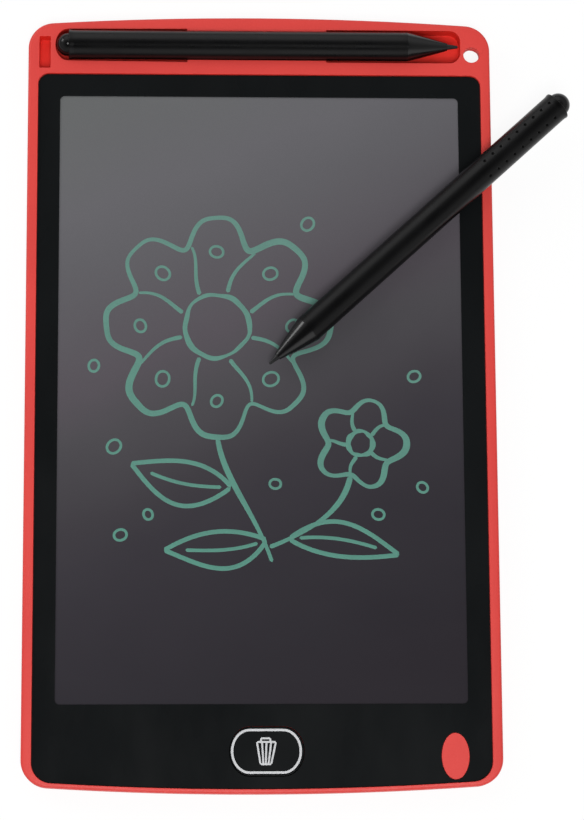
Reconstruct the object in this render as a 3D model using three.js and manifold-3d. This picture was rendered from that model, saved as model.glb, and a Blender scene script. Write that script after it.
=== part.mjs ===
// LCD writing tablet with an erase button, a coin cell and two styluses.
// Millimetres. The tablet lies on its back: +Z is up out of the screen, +Y points to the stylus groove,
// and the origin is the middle of the back face.

import * as THREE from 'three';
import { mergeVertices } from 'three/addons/utils/BufferGeometryUtils.js';
import Module from 'manifold-3d';

// Casing
const bodyWidth = 138.2;
const bodyLength = 231.2;
const bodyThickness = 6.2;
const cornerRadius = 7.8;
const endBow = 2.5;
const edgeRound = 0.8;
const partingHeight = 2.9;
const shellWall = 1.8;
const rearFloor = 1.2;
const frontSkin = 1;
const lipWall = 0.9;
const lipDepth = 0.9;
const lipGap = 0.15;
const ribWall = 0.8;
const ribGap = 0.15;
const ribSpacing = 40;

// Black border and the films under it
const headBand = 17.72;
const sideRim = 3;
const bottomRim = 1.29;
const panelTopRadius = 3.3;
const panelBottomRadius = 5.9;
const panelDrop = 0.6;
const panelGap = 0.2;
const overlayThickness = 0.3;
const sideBorder = 6.7;
const bottomBorder = 24.24;
const windowRadius = 1.4;
const windowTopBorder = 6.91;
const windowShift = -0.13;
const filmMargin = 2.4;
const filmRadius = 1.8;
const filmGap = 0.25;
const filmThickness = 0.35;
const backingThickness = 0.15;
const tapeThickness = 0.15;
const tapeWidth = 6;
const webThickness = 1.2;
const tailWidth = 8;
const tailThickness = 0.15;
const tailShift = 20;
const tailPad = 2.4;
const tailBend = 0.5;

// Styluses
const stylusDiameter = 8.6;
const stylusLength = 120.3;
const stylusWall = 1.4;
const coneLength = 12;
const coneTipDiameter = 2.3;
const coneSwellPower = 1.1;
const tailFlare = 0.15;
const tailFlareLength = 1.2;
const nibDiameter = 1.7;
const nibTipDiameter = 0.9;
const nibReach = 3.3;
const nibShank = 5;
const nibGap = 0.15;
const ballDiameter = 7;
const ballOffset = 0.25;
const ballSeat = 0.1;
const plugDepth = 6;
const plugGap = 0.1;
const seatGap = 0.3;
const stowedShift = -0.2;
const looseTipX = 2.3;
const looseTipY = 8.8;
const looseAngle = THREE.MathUtils.degToRad(42.3);

// Stylus groove, corner pocket and lanyard hole
const grooveInset = 8.8;
const grooveShift = -0.4;
const grooveEndGap = 0.5;
const grooveTailWidth = 9.8;
const grooveTailSplay = 0.25;
const grooveTipWidth = 10.1;
const grooveTailRadius = 3.6;
const grooveTipRadius = 3.3;
const snapLength = 41.7;
const snapShift = -0.49;
const snapGap = 0.2;
const troughWall = 1;
const troughFloor = 0.7;
const troughGap = 0.1;
const thinFloor = 0.7;
const pocketWidth = 3.3;
const pocketLength = 9.8;
const pocketDepth = 4.2;
const pocketRadius = 0.4;
const pocketFromSide = 4.95;
const pocketFromTop = 11.15;
const pocketWall = 1;
const pocketFloor = 0.7;
const holeDiameter = 4.8;
const holeFlare = 6.6;
const holeFromSide = 5.5;
const holeFromTop = 11.2;
const bossWall = 1.1;

// Erase button and its switch
const buttonWidth = 21.2;
const buttonHeight = 13.8;
const buttonFlat = 9.8;
const buttonShift = 1.2;
const buttonFromBottom = 12.05;
const buttonProud = 0.05;
const buttonGap = 0.25;
const capThickness = 0.85;
const skirtWall = 1;
const flangeWidth = 1;
const flangeThickness = 0.4;
const flangeGap = 0.15;
const nubDiameter = 3;
const switchSize = 5;
const switchHeight = 0.8;
const plungerDiameter = 2.4;
const plungerRise = 0.3;
const plungerSink = 0.25;
const switchBase = 0.2;
const plungerGap = 0.15;

// Oval pad that shows through the border
const ovalWidth = 8;
const ovalHeight = 13.3;
const ovalFromSide = 13.7;
const ovalFromBottom = 10.55;
const ovalProud = 0.05;

// Circuit board and what is on it
const boardWidth = 15.5;
const boardThickness = 0.7;
const boardRise = 1.3;
const boardFromSide = 23.2;
const boardFromCell = 4.5;
const boardFromBottom = 12.25;
const boardCorner = 1;
const stakeDiameter = 2;
const stakeHead = 3.4;
const stakeHeadHeight = 0.5;
const stakeGap = 0.15;
const standoffDiameter = 4.4;
const stakeInsetX = 4;
const stakeInsetY = 3;
const chipLegs = 4;
const chipLength = 4.9;
const chipWidth = 3.9;
const chipHeight = 0.95;
const legLength = 1;
const legWidth = 0.4;
const legHeight = 0.2;
const legPitch = 1.27;
const inductorSize = 4;
const inductorHeight = 1;
const inductorCorner = 0.8;
const diodeLength = 2.6;
const diodeWidth = 1.6;
const diodeHeight = 0.9;
const capacitorLength = 3.2;
const capacitorWidth = 1.6;
const capacitorHeight = 0.9;
const resistorLength = 2;
const resistorWidth = 1.25;
const resistorHeight = 0.5;

// Lock switch at the back
const lockShift = 31;
const lockFromBottom = 11.5;
const lockTravel = 2;
const lockBodyLength = 7;
const lockBodyWidth = 3.4;
const lockBodyHeight = 1;
const leverSize = 1.2;
const leverGap = 0.15;
const leverSink = 0.4;
const leverReach = 0.55;
const knobLength = 4.4;
const knobWidth = 3.4;
const knobHeight = 0.5;
const knobRecess = 0.7;
const knobGap = 0.3;
const knobDrop = 0.1;
const knobStem = 2.2;
const gripWidth = 0.36;
const gripPitch = 1.1;
const gripDepth = 0.12;
const knobStemTop = 0.1;

// Coin cell, its contacts and the battery door
const cellDiameter = 20;
const cellThickness = 1.6;
const cellStep = 0.3;
const cellCapDiameter = 17.6;
const cellFromSide = 31.2;
const cellFromBottom = 19.25;
const cellGap = 0.6;
const cellWall = 1;
const cellWallTop = 2.8;
const padDiameter = 14;
const padThickness = 0.3;
const doorLength = 25;
const doorWidth = 24;
const doorThickness = 1;
const doorRadius = 1.5;
const doorGap = 0.2;
const ledgeThickness = 1;
const ledgeMargin = 1.4;
const screwInset = 2.4;
const screwHead = 3.4;
const screwHeadHeight = 0.55;
const screwRecess = 0.15;
const screwShank = 1.6;
const screwLength = 2;
const screwGap = 0.15;
const driveWidth = 0.5;
const driveLength = 2;
const driveDepth = 0.3;
const screwBossDiameter = 4.4;
const contactThickness = 0.2;
const contactWidth = 3.2;
const contactPad = 3;
const contactGap = 0.1;
const negativeOffset = -2;
const negativeReach = 13;
const positiveOffset = -5.6;

// How finely round stretches are divided, and how far a cut runs past what it cuts
const coarseSegments = 2;
const arcSegments = 6;
const fineSegments = 8;
const ovalSegments = 14;
const roundSegments = 20;
const stylusSegments = 28;
const coneSteps = 8;
const ballSteps = 9;
const bevelSteps = 3;
const cutOverrun = 1;
const mergeTolerance = 1e-4;

// Heights of the stack, from the screen side down
const panelTop = bodyThickness - panelDrop;
const landTop = panelTop - overlayThickness;
const filmUnder = landTop - filmThickness;
const backingUnder = filmUnder - backingThickness;
const pocketLevel = backingUnder - tapeThickness;
const webUnder = pocketLevel - webThickness;
const bayCeiling = landTop - frontSkin;
const boardUnder = rearFloor + boardRise;
const boardTop = boardUnder + boardThickness;

// Places in plan
const endRadius = (bodyWidth ** 2 / 4 + endBow ** 2) / (2 * endBow);
const topEdge = bodyLength / 2;
const bottomEdge = -bodyLength / 2;
const frontWall = shellWall + lipGap + lipWall;
const panelTopEdge = topEdge - headBand;
const panelWidth = bodyWidth - 2 * sideRim;
const windowTop = panelTopEdge - windowTopBorder;
const windowBottom = bottomEdge + bottomRim + bottomBorder;
const windowWidth = panelWidth - 2 * sideBorder;
const windowLength = windowTop - windowBottom;
const windowMiddle = (windowTop + windowBottom) / 2;
const filmWidth = windowWidth + 2 * filmMargin;
const filmLength = windowLength + 2 * filmMargin;
const filmBottom = windowMiddle - filmLength / 2;
const filmTop = windowMiddle + filmLength / 2;
const grooveY = topEdge - grooveInset;
const pocketX = -bodyWidth / 2 + pocketFromSide;
const pocketY = topEdge - pocketFromTop;
const holeX = bodyWidth / 2 - holeFromSide;
const holeY = topEdge - holeFromTop;
const buttonY = bottomEdge + buttonFromBottom;
const ovalX = bodyWidth / 2 - ovalFromSide;
const ovalY = bottomEdge + ovalFromBottom;
const lockY = bottomEdge + lockFromBottom;
const cellX = -bodyWidth / 2 + cellFromSide;
const cellY = bottomEdge + cellFromBottom;
const boardLeft = cellX + cellDiameter / 2 + boardFromCell;
const boardRight = bodyWidth / 2 - boardFromSide;
const boardLength = boardRight - boardLeft;
const boardX = (boardLeft + boardRight) / 2;
const boardY = bottomEdge + boardFromBottom;

const wasm = await Module();
wasm.setup();

const tablet = new THREE.Group();

function solidOf(geometry) {
  const bare = geometry.clone();
  bare.deleteAttribute('normal');
  bare.deleteAttribute('uv');
  const merged = mergeVertices(bare, mergeTolerance);
  return new wasm.Manifold(new wasm.Mesh({
    numProp: 3,
    vertProperties: new Float32Array(merged.attributes.position.array),
    triVerts: new Uint32Array(merged.index.array),
  }));
}

function geometryOf(solid) {
  const mesh = solid.getMesh();
  const geometry = new THREE.BufferGeometry();
  geometry.setAttribute('position', new THREE.BufferAttribute(mesh.vertProperties, 3));
  geometry.setIndex(new THREE.BufferAttribute(mesh.triVerts, 1));
  geometry.computeVertexNormals();
  return geometry;
}

function finish(color, roughness, metalness = 0) {
  return new THREE.MeshStandardMaterial({ color, roughness, metalness });
}

const redPlastic = () => finish(0xd84a44, 0.55);
const blackPlastic = () => finish(0x151617, 0.45);
const blackFilm = () => finish(0x161719, 0.35);
const screenFilm = () => finish(0x4f4c50, 0.4);
const darkSheet = () => finish(0x101010, 0.8);
const tapeFoam = () => finish(0xd9d6cc, 0.85);
const nibPlastic = () => finish(0x5a5a5c, 0.4);
const boardGreen = () => finish(0x1d5b38, 0.5);
const chipBlack = () => finish(0x1b1b1d, 0.6);
const ceramicTan = () => finish(0xa58a6a, 0.5);
const amberFlex = () => finish(0xb5772a, 0.4);
const springSteel = () => finish(0xc2c0b8, 0.3, 1);
const nickelSteel = () => finish(0xb9b9ba, 0.3, 1);

function addPiece(name, shape, material, carrier = tablet) {
  const geometry = shape.isBufferGeometry ? shape : geometryOf(shape);
  const mesh = new THREE.Mesh(geometry, material);
  mesh.name = name;
  carrier.add(mesh);
  return mesh;
}

// Plan outlines

// The casing's outline set in by a distance: straight sides, ends bowed on one large radius, round corners.
function bodyOutline(inset = 0) {
  const corner = cornerRadius - inset;
  const bow = endRadius - inset;
  const cornerX = bodyWidth / 2 - cornerRadius;
  const bowCentre = topEdge - endRadius;
  const cornerY = bowCentre + Math.sqrt((endRadius - cornerRadius) ** 2 - cornerX ** 2);
  const meet = Math.atan2(cornerY - bowCentre, cornerX);
  const outline = new THREE.Shape();
  outline.absarc(cornerX, cornerY, corner, 0, meet);
  outline.absarc(0, bowCentre, bow, meet, Math.PI - meet);
  outline.absarc(-cornerX, cornerY, corner, Math.PI - meet, Math.PI);
  outline.absarc(-cornerX, -cornerY, corner, Math.PI, Math.PI + meet);
  outline.absarc(0, -bowCentre, bow, Math.PI + meet, 2 * Math.PI - meet);
  outline.absarc(cornerX, -cornerY, corner, -meet, 0);
  return outline;
}

// The border's outline: a straight top edge, and a bottom edge that runs alongside the casing's bow.
function panelOutline(inset = 0) {
  const topX = panelWidth / 2 - panelTopRadius;
  const topY = panelTopEdge - panelTopRadius;
  const bottomX = panelWidth / 2 - panelBottomRadius;
  const bowCentre = bottomEdge + endRadius;
  const bow = endRadius - bottomRim;
  const bottomY = bowCentre - Math.sqrt((bow - panelBottomRadius) ** 2 - bottomX ** 2);
  const meet = Math.atan2(bowCentre - bottomY, bottomX);
  const outline = new THREE.Shape();
  outline.absarc(topX, topY, panelTopRadius - inset, 0, Math.PI / 2);
  outline.absarc(-topX, topY, panelTopRadius - inset, Math.PI / 2, Math.PI);
  outline.absarc(-bottomX, bottomY, panelBottomRadius - inset, Math.PI, Math.PI + meet);
  outline.absarc(0, bowCentre, bow - inset, Math.PI + meet, 2 * Math.PI - meet);
  outline.absarc(bottomX, bottomY, panelBottomRadius - inset, -meet, 0);
  return outline;
}

function roundedRect(x, y, width, height, radius) {
  const outline = new THREE.Shape();
  const dx = width / 2 - radius;
  const dy = height / 2 - radius;
  outline.absarc(x + dx, y + dy, radius, 0, Math.PI / 2);
  outline.absarc(x - dx, y + dy, radius, Math.PI / 2, Math.PI);
  outline.absarc(x - dx, y - dy, radius, Math.PI, 1.5 * Math.PI);
  outline.absarc(x + dx, y - dy, radius, 1.5 * Math.PI, 2 * Math.PI);
  return outline;
}

function ellipseOutline(x, y, width, height) {
  const outline = new THREE.Shape();
  outline.absellipse(x, y, width / 2, height / 2, 0, 2 * Math.PI);
  return outline;
}

// The erase button's outline: flat top and bottom between half-ellipse ends, grown by a margin.
function buttonOutline(grow = 0) {
  const flat = buttonFlat / 2;
  const endX = (buttonWidth - buttonFlat) / 2 + grow;
  const endY = buttonHeight / 2 + grow;
  const outline = new THREE.Shape();
  outline.absellipse(buttonShift + flat, buttonY, endX, endY, -Math.PI / 2, Math.PI / 2);
  outline.absellipse(buttonShift - flat, buttonY, endX, endY, Math.PI / 2, 1.5 * Math.PI);
  return outline;
}

// The stylus groove: a stretch at the tail with an oval end that splays towards the middle, a narrow
// stretch that grips the barrel, and a wide one with rounded corners at the tip.
function grooveOutline(grow = 0) {
  const left = grooveShift - stylusLength / 2 - grooveEndGap - grow;
  const right = grooveShift + stylusLength / 2 + grooveEndGap + grow;
  const snapLeft = grooveShift + snapShift - snapLength / 2 + grow;
  const snapRight = grooveShift + snapShift + snapLength / 2 - grow;
  const tailHalf = grooveTailWidth / 2 + grow;
  const splayHalf = tailHalf + grooveTailSplay;
  const tipHalf = grooveTipWidth / 2 + grow;
  const snapHalf = stylusDiameter / 2 + snapGap + grow;
  const tailRadius = grooveTailRadius + grow;
  const tipRadius = grooveTipRadius + grow;
  const outline = new THREE.Shape();
  outline.moveTo(snapRight, grooveY + snapHalf);
  outline.lineTo(snapLeft, grooveY + snapHalf);
  outline.lineTo(snapLeft, grooveY + splayHalf);
  outline.absellipse(left + tailRadius, grooveY, tailRadius, tailHalf, Math.PI / 2, 1.5 * Math.PI);
  outline.lineTo(snapLeft, grooveY - splayHalf);
  outline.lineTo(snapLeft, grooveY - snapHalf);
  outline.lineTo(snapRight, grooveY - snapHalf);
  outline.lineTo(snapRight, grooveY - tipHalf);
  outline.absarc(right - tipRadius, grooveY - tipHalf + tipRadius, tipRadius, -Math.PI / 2, 0);
  outline.absarc(right - tipRadius, grooveY + tipHalf - tipRadius, tipRadius, 0, Math.PI / 2);
  outline.lineTo(snapRight, grooveY + tipHalf);
  return outline;
}

// Solids

function prism(outline, low, high, segments = arcSegments) {
  const geometry = new THREE.ExtrudeGeometry(outline, {
    depth: high - low, bevelEnabled: false, curveSegments: segments,
  });
  geometry.translate(0, 0, low);
  return solidOf(geometry);
}

function cylinder(x, y, diameter, low, high, segments = roundSegments) {
  const geometry = new THREE.CylinderGeometry(diameter / 2, diameter / 2, high - low, segments);
  geometry.rotateX(Math.PI / 2);
  geometry.translate(x, y, (low + high) / 2);
  return solidOf(geometry);
}

function block(x, y, width, height, low, high) {
  const geometry = new THREE.BoxGeometry(width, height, high - low);
  geometry.translate(x, y, (low + high) / 2);
  return solidOf(geometry);
}

// A strip of constant section along X, from its outline in Y and Z.
function stripAlongX(x, width, points) {
  const outline = new THREE.Shape(points.map(([y, z]) => new THREE.Vector2(y, z)));
  const geometry = new THREE.ExtrudeGeometry(outline, { depth: width, bevelEnabled: false });
  geometry.applyMatrix4(new THREE.Matrix4().makeBasis(
    new THREE.Vector3(0, 1, 0), new THREE.Vector3(0, 0, 1), new THREE.Vector3(1, 0, 0)));
  geometry.translate(x - width / 2, 0, 0);
  return solidOf(geometry);
}

// A strip of constant section along Y, from its outline in X and Z.
function stripAlongY(y, width, points) {
  const outline = new THREE.Shape(points.map(([x, z]) => new THREE.Vector2(x, z)));
  const geometry = new THREE.ExtrudeGeometry(outline, { depth: width, bevelEnabled: false });
  geometry.rotateX(Math.PI / 2);
  geometry.translate(0, y + width / 2, 0);
  return solidOf(geometry);
}

function joined(first, ...others) {
  return others.reduce((whole, part) => whole.add(part), first);
}

function cutFrom(whole, ...cuts) {
  return cuts.reduce((rest, cut) => rest.subtract(cut), whole);
}

// The whole casing as one rounded slab, from which both shells are taken.
function casingSlab() {
  const geometry = new THREE.ExtrudeGeometry(bodyOutline(), {
    depth: bodyThickness - 2 * edgeRound,
    bevelEnabled: true,
    bevelThickness: edgeRound,
    bevelSize: edgeRound,
    bevelOffset: -edgeRound,
    bevelSegments: bevelSteps,
    curveSegments: fineSegments,
  });
  geometry.translate(0, 0, edgeRound);
  return solidOf(geometry);
}

// The part of a plan region that lies between two Y values, as a solid between two heights.
function bandOf(outline, lowY, highY, low, high) {
  const width = bodyWidth + 2 * cutOverrun;
  const band = block(0, (lowY + highY) / 2, width, highY - lowY, low, high);
  return prism(outline, low, high).intersect(band);
}

// Shells

const grooveLevel = thinFloor + troughGap + troughFloor;
const pocketLevelTop = bodyThickness - pocketDepth;
const boardStakes = [1, -1].map((side) => [
  boardX + side * (boardLength / 2 - stakeInsetX),
  boardY + side * (boardWidth / 2 - stakeInsetY),
]);
const doorScrews = [1, -1].map((side) => [
  cellX + side * (doorLength / 2 - screwInset),
  cellY - side * (doorWidth / 2 - screwInset),
]);

function frontFrame() {
  const low = partingHeight - lipDepth;
  const slab = casingSlab();
  const upper = slab.intersect(
    block(0, 0, bodyWidth, bodyLength, partingHeight, bodyThickness));
  const lip = prism(bodyOutline(shellWall + lipGap), low, partingHeight + lipGap);
  const lipRelief = cylinder(holeX, holeY, holeFlare + 2 * (bossWall + lipGap),
    low - cutOverrun, partingHeight);
  const inner = bodyOutline(frontWall);
  const under = low - cutOverrun;
  const bayTop = filmBottom - filmGap - webThickness;
  const headBottom = filmTop + filmGap + webThickness;
  const hollow = joined(
    prism(inner, under, webUnder),
    bandOf(inner, bottomEdge, bayTop, under, bayCeiling),
    bandOf(inner, headBottom, topEdge, under, bayCeiling),
  );
  const trough = prism(grooveOutline(troughWall), thinFloor + troughGap, bayCeiling + frontSkin);
  const pocketBlock = block(pocketX, pocketY, pocketWidth + 2 * pocketWall, pocketLength + 2 * pocketWall,
    pocketLevelTop - pocketFloor, bayCeiling + frontSkin);
  const holeBoss = cylinder(holeX, holeY, holeDiameter + 2 * bossWall, partingHeight,
    bayCeiling + frontSkin);
  const shell = joined(
    cutFrom(joined(upper, cutFrom(lip, lipRelief)), hollow),
    trough, pocketBlock, holeBoss,
  );
  const ovalPad = prism(ellipseOutline(ovalX, ovalY, ovalWidth, ovalHeight), landTop - cutOverrun,
    panelTop + ovalProud, ovalSegments);
  const panelCut = cutFrom(prism(panelOutline(), landTop, bodyThickness + cutOverrun), ovalPad);
  const filmCut = prism(roundedRect(windowShift, windowMiddle, filmWidth + 2 * filmGap,
    filmLength + 2 * filmGap, filmRadius + filmGap), pocketLevel, bodyThickness);
  const grooveCut = prism(grooveOutline(), grooveLevel, bodyThickness + cutOverrun);
  const pocketCut = prism(roundedRect(pocketX, pocketY, pocketWidth, pocketLength, pocketRadius),
    pocketLevelTop, bodyThickness + cutOverrun, fineSegments / 2);
  const holeCut = cylinder(holeX, holeY, holeDiameter, 0, bodyThickness + cutOverrun, 2 * roundSegments);
  const buttonCut = prism(buttonOutline(buttonGap), under, bodyThickness, fineSegments);
  const tailSlot = block(windowShift + tailShift, filmBottom - filmGap - webThickness,
    tailWidth + 2 * filmGap, 2 * webThickness, under, bodyThickness);
  return cutFrom(shell, panelCut, filmCut, grooveCut, pocketCut, holeCut, buttonCut, tailSlot);
}

function rearCover() {
  const lower = casingSlab().intersect(block(0, 0, bodyWidth, bodyLength, 0, partingHeight));
  const tray = cutFrom(lower, prism(bodyOutline(shellWall), rearFloor, partingHeight + cutOverrun));
  const holeRing = cylinder(holeX, holeY, holeFlare + 2 * bossWall, 0, partingHeight - troughGap);
  const ledge = prism(roundedRect(cellX, cellY, doorLength + 2 * ledgeMargin,
    doorWidth + 2 * ledgeMargin, doorRadius + ledgeMargin), rearFloor / 2, doorThickness + ledgeThickness);
  const cellRing = cylinder(cellX, cellY, cellDiameter + 2 * (cellGap + cellWall),
    rearFloor / 2, cellWallTop);
  const standoffs = boardStakes.map(([x, y]) => joined(
    cylinder(x, y, standoffDiameter, rearFloor / 2, boardUnder),
    cylinder(x, y, stakeDiameter, rearFloor / 2, boardTop + stakeHeadHeight),
    cylinder(x, y, stakeHead, boardTop, boardTop + stakeHeadHeight),
  ));
  const screwBosses = doorScrews.map(([x, y]) =>
    cylinder(x, y, screwBossDiameter, rearFloor / 2, cellWallTop));
  const solid = joined(tray, holeRing, ledge, cellRing, ...standoffs, ...screwBosses, ...supportRibs());
  const high = partingHeight + cutOverrun;
  const troughRelief = prism(grooveOutline(troughWall + lipGap), thinFloor, high);
  const pocketRelief = block(pocketX, pocketY, pocketWidth + 2 * (pocketWall + lipGap),
    pocketLength + 2 * (pocketWall + lipGap), rearFloor, high);
  const holeBore = cylinder(holeX, holeY, holeFlare, -cutOverrun, high);
  const doorCut = prism(roundedRect(cellX, cellY, doorLength + 2 * doorGap, doorWidth + 2 * doorGap,
    doorRadius + doorGap), -cutOverrun, doorThickness);
  const cellBore = cylinder(cellX, cellY, cellDiameter + 2 * cellGap, -cutOverrun, high,
    2 * roundSegments);
  const contactNotch = block(cellX + doorLength / 2, cellY + positiveOffset / 2,
    doorLength / 2 + 2 * cellWall, 2 * contactWidth - positiveOffset, doorThickness + ledgeThickness, high);
  const pilots = doorScrews.map(([x, y]) =>
    cylinder(x, y, screwShank + 2 * screwGap, -cutOverrun, high));
  const knobPocket = block(lockShift + lockTravel / 2, lockY, knobLength + lockTravel + 2 * knobGap,
    knobWidth + 2 * knobGap, -cutOverrun, knobRecess);
  const knobSlot = block(lockShift + lockTravel / 2, lockY, knobStem + lockTravel + 2 * knobGap,
    knobStem + knobGap, -cutOverrun, high);
  return cutFrom(solid, troughRelief, pocketRelief, holeBore, doorCut, cellBore, contactNotch, ...pilots,
    knobPocket, knobSlot);
}

// Ribs inside the rear cover that stop just short of the web under the screen.
function supportRibs() {
  const ribTop = webUnder - ribGap;
  const ribLow = rearFloor / 2;
  const span = bodyWidth - 2 * (frontWall + ribGap);
  const cellTop = cellY + cellDiameter;
  const across = [];
  for (let y = windowMiddle + ribSpacing * 1.5; y > cellTop; y -= ribSpacing) {
    across.push(block(0, y, span, ribWall, ribLow, ribTop));
  }
  const run = windowTop - cellTop;
  const along = [-1, 1].map((side) =>
    block(side * span / 4, cellTop + run / 2, ribWall, run - ribSpacing / 4, ribLow, ribTop - ribGap));
  return [...across, ...along];
}

// Screen stack

function bezelOverlay() {
  return cutFrom(
    prism(panelOutline(panelGap), landTop, panelTop),
    prism(roundedRect(windowShift, windowMiddle, windowWidth, windowLength, windowRadius),
      landTop - cutOverrun, bodyThickness),
    prism(buttonOutline(buttonGap), landTop - cutOverrun, bodyThickness, fineSegments),
    prism(ellipseOutline(ovalX, ovalY, ovalWidth + 2 * panelGap, ovalHeight + 2 * panelGap),
      landTop - cutOverrun, bodyThickness, ovalSegments),
  );
}

function filmSheet(low, high, margin = 0) {
  return prism(roundedRect(windowShift, windowMiddle, filmWidth - 2 * margin, filmLength - 2 * margin,
    filmRadius), low, high);
}

function mountingTape() {
  return cutFrom(
    filmSheet(pocketLevel, backingUnder),
    filmSheet(pocketLevel - cutOverrun, backingUnder + cutOverrun, tapeWidth),
  );
}

// The film's tail: level with the film, down through the web's slot, and flat on the board.
function filmTail() {
  const start = filmBottom - filmGap;
  const high = filmUnder + (filmThickness + tailThickness) / 2;
  const fall = start - tailBend;
  const land = boardY + boardWidth / 2 - tailBend;
  const low = boardTop + tailThickness;
  const t = tailThickness;
  return stripAlongX(windowShift + tailShift, tailWidth, [
    [start, high], [fall - t, high], [fall - t - tailBend, low + t], [land, low], [land - tailPad, low],
    [land - tailPad, boardTop], [land, boardTop], [fall - tailBend, low], [fall, high - t], [start, high - t],
  ]);
}

// Erase button and switch

function eraseButton() {
  const capTop = panelTop + buttonProud;
  const capUnder = capTop - capThickness;
  const flangeTop = bayCeiling - flangeGap;
  const flangeLow = flangeTop - flangeThickness;
  const shellOuter = joined(
    prism(buttonOutline(), flangeLow, capTop, fineSegments),
    prism(buttonOutline(flangeWidth), flangeLow, flangeTop, fineSegments),
  );
  const hollow = prism(buttonOutline(-skirtWall), flangeLow - cutOverrun, capUnder, fineSegments);
  const nub = cylinder(buttonShift, buttonY, nubDiameter, boardTop + switchHeight + plungerRise,
    capUnder + capThickness / 2);
  return joined(cutFrom(shellOuter, hollow), nub);
}

function switchBody() {
  const bore = cylinder(buttonShift, buttonY, plungerDiameter + 2 * plungerGap,
    boardTop + switchBase, boardTop + switchHeight + cutOverrun);
  const housing = block(buttonShift, buttonY, switchSize, switchSize, boardTop, boardTop + switchHeight);
  return cutFrom(housing, bore);
}

function switchPlunger() {
  const face = boardTop + switchHeight;
  return cylinder(buttonShift, buttonY, plungerDiameter, face - plungerSink, face + plungerRise);
}

// Board and what it carries

function circuitBoard() {
  const plate = prism(roundedRect(boardX, boardY, boardLength, boardWidth, boardCorner),
    boardUnder, boardTop, coarseSegments);
  const holes = boardStakes.map(([x, y]) =>
    cylinder(x, y, stakeDiameter + 2 * stakeGap, boardUnder - cutOverrun, boardTop + cutOverrun));
  return cutFrom(plate, ...holes);
}

function controlChip(x, y) {
  const parts = [block(x, y, chipLength, chipWidth, boardTop + legHeight / 2, boardTop + chipHeight)];
  for (const side of [-1, 1]) {
    for (let leg = 0; leg < chipLegs; leg++) {
      const legX = x + (leg - (chipLegs - 1) / 2) * legPitch;
      parts.push(block(legX, y + side * chipWidth / 2, legWidth, 2 * legLength,
        boardTop, boardTop + legHeight));
    }
  }
  return joined(...parts);
}

// A part of two metal ends round a slightly lower body.
function twoEndPart(x, y, length, width, height) {
  const end = length / 4;
  return joined(
    block(x, y, length - end, width - 2 * legHeight,
      boardTop + legHeight / 2, boardTop + height - legHeight / 2),
    block(x - (length - end) / 2, y, end, width, boardTop, boardTop + height),
    block(x + (length - end) / 2, y, end, width, boardTop, boardTop + height),
  );
}

function boostInductor(x, y) {
  return joined(
    prism(roundedRect(x, y, inductorSize, inductorSize, inductorCorner),
      boardTop, boardTop + inductorHeight / 2, coarseSegments),
    cylinder(x, y, inductorSize - inductorCorner, boardTop, boardTop + inductorHeight),
  );
}

// Where each small part stands, as shares of the board's length and width from its middle.
const boardPartShares = {
  control_chip: [0.25, 0],
  boost_inductor: [0.385, -0.25],
  boost_diode: [0.3, -0.34],
  storage_capacitor: [0.4, 0.12],
  filter_capacitor: [-0.36, -0.05],
  sense_resistor: [-0.36, 0.2],
  load_resistor: [0.17, -0.34],
};

const boardParts = {
  control_chip: controlChip,
  boost_inductor: boostInductor,
  boost_diode: (x, y) => twoEndPart(x, y, diodeLength, diodeWidth, diodeHeight),
  storage_capacitor: (x, y) => twoEndPart(x, y, capacitorLength, capacitorWidth, capacitorHeight),
  filter_capacitor: (x, y) => twoEndPart(x, y, capacitorLength, capacitorWidth, capacitorHeight),
  sense_resistor: (x, y) => twoEndPart(x, y, resistorLength, resistorWidth, resistorHeight),
  load_resistor: (x, y) => twoEndPart(x, y, resistorLength, resistorWidth, resistorHeight),
};

// Lock switch

function lockBody() {
  const top = boardUnder;
  const low = top - lockBodyHeight;
  const slot = block(lockShift + lockTravel / 2, lockY, leverSize + lockTravel + 2 * leverGap,
    leverSize + 2 * leverGap, low - cutOverrun, low + leverSink + leverGap);
  return cutFrom(block(lockShift + lockTravel / 2, lockY, lockBodyLength, lockBodyWidth, low, top), slot);
}

function lockLever() {
  const low = boardUnder - lockBodyHeight;
  return block(lockShift, lockY, leverSize, leverSize, low - leverReach, low + leverSink);
}

function lockKnob() {
  const grips = [-1, 0, 1].map((step) => block(lockShift + step * gripPitch, lockY,
    gripWidth, knobWidth + knobGap, knobDrop - cutOverrun, knobDrop + gripDepth));
  const stemTop = rearFloor + knobStemTop;
  const stem = block(lockShift, lockY, knobStem, knobStem, knobDrop + knobHeight / 2, stemTop);
  const socket = block(lockShift, lockY, leverSize + 2 * leverGap, leverSize + 2 * leverGap,
    boardUnder - lockBodyHeight - leverReach - leverGap, stemTop + cutOverrun);
  const cap = block(lockShift, lockY, knobLength, knobWidth, knobDrop, knobDrop + knobHeight);
  return cutFrom(joined(cap, stem), socket, ...grips);
}

// Battery

const cellLow = doorThickness + padThickness;
const cellTopLevel = cellLow + cellThickness;

function coinCell() {
  return joined(
    cylinder(cellX, cellY, cellDiameter, cellLow, cellTopLevel - cellStep, 2 * roundSegments),
    cylinder(cellX, cellY, cellCapDiameter, cellLow, cellTopLevel, 2 * roundSegments),
  );
}

function batteryDoor() {
  const plate = prism(roundedRect(cellX, cellY, doorLength, doorWidth, doorRadius), 0, doorThickness);
  const cuts = doorScrews.flatMap(([x, y]) => [
    cylinder(x, y, screwHead + 2 * screwGap, -cutOverrun, screwRecess + screwHeadHeight),
    cylinder(x, y, screwShank + 2 * screwGap, -cutOverrun, doorThickness + cutOverrun),
  ]);
  return cutFrom(plate, ...cuts);
}

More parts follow.
